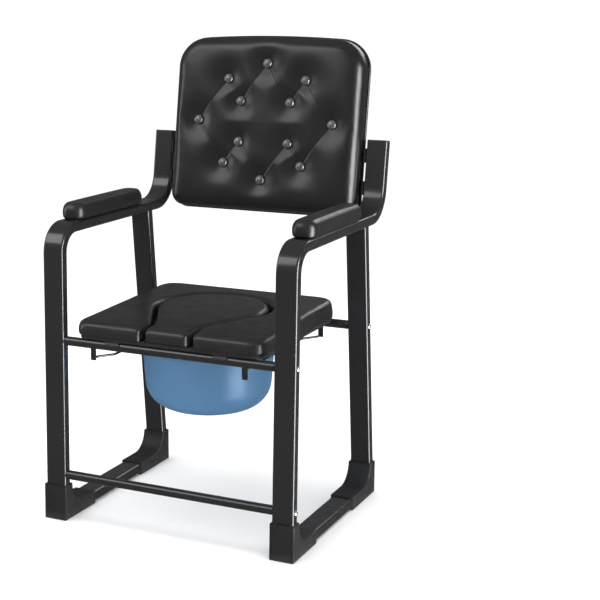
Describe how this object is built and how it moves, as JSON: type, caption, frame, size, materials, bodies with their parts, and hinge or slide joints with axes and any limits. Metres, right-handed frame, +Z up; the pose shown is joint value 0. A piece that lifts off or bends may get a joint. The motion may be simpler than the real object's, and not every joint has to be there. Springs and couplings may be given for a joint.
{
  "type": "commode chair",
  "caption": "Stationary commode chair: bent flat-tube side frames, tufted backrest, padded seat with lift-out insert, and a bucket on sliding rods.",
  "frame": {"origin": "on the floor under the middle of the chair's overall box", "axes": "+Z up, +Y from the front legs towards the backrest, +X to the sitter's left"},
  "size_m": [0.5674, 0.5492, 0.9823],
  "materials": {
    "frame_paint": "satin black powder coat",
    "foot_rubber": "matt black rubber",
    "bright_steel": "bright zinc-plated steel",
    "pad_skin": "satin black moulded polyurethane skin",
    "back_leather": "glossy black artificial leather",
    "back_shell": "black moulded shell",
    "button_grey": "pearl grey upholstery button",
    "board_plastic": "black moulded board",
    "bucket_blue": "steel blue polypropylene",
    "handle_blue": "steel blue polypropylene",
    "black_plastic": "black nylon"
  },
  "bodies": {
    "frame": {"left_side_frame": "frame_paint", "right_side_frame": "frame_paint", "left_upright_cap": "black_plastic", "right_upright_cap": "black_plastic", "front_left_foot": "foot_rubber", "front_right_foot": "foot_rubber", "rear_left_foot": "foot_rubber", "rear_right_foot": "foot_rubber", "front_seat_bar": "frame_paint", "rear_seat_bar": "frame_paint", "lower_front_bar": "frame_paint", "bar_end_nuts": "bright_steel", "bar_bolts": "bright_steel", "left_arm_pad": "pad_skin", "right_arm_pad": "pad_skin", "arm_pad_screws": "bright_steel", "back_cushion": "back_leather", "back_shell": "back_shell", "back_buttons": "button_grey", "upper_back_strap": "frame_paint", "lower_back_strap": "frame_paint", "back_strap_bolts": "bright_steel", "back_shell_screws": "bright_steel", "left_bucket_rail": "frame_paint", "right_bucket_rail": "frame_paint", "front_left_rail_tab": "frame_paint", "front_right_rail_tab": "frame_paint", "rear_left_rail_tab": "frame_paint", "rear_right_rail_tab": "frame_paint"},
    "seat": {"seat_cushion": "pad_skin", "seat_board": "board_plastic", "left_front_seat_saddle": "black_plastic", "right_front_seat_saddle": "black_plastic", "left_rear_seat_clip": "black_plastic", "right_rear_seat_clip": "black_plastic", "seat_clip_screws": "bright_steel"},
    "seat_insert": {"seat_insert_cushion": "pad_skin", "seat_insert_plate": "board_plastic"},
    "bucket": {"bucket": "bucket_blue"},
    "bucket_handle": {"bucket_handle": "handle_blue"}
  },
  "joints": [
    {"name": "seat_tip_up", "type": "hinge", "parent": "frame", "child": "seat", "pos_m": [0, 0.13227, 0.383], "axis": [-1, 0, 0], "range_deg": [0, 60]},
    {"name": "insert_lift", "type": "slide", "parent": "seat", "child": "seat_insert", "axis": [0, 0, 1], "range_m": [0, 0.07]},
    {"name": "bucket_slide", "type": "slide", "parent": "frame", "child": "bucket", "axis": [0, 1, 0], "range_m": [0, 0.34]},
    {"name": "bucket_handle_swing", "type": "hinge", "parent": "bucket", "child": "bucket_handle", "pos_m": [0, -0.07167, 0.3615], "axis": [1, 0, 0], "range_deg": [0, 8]}
  ]
}
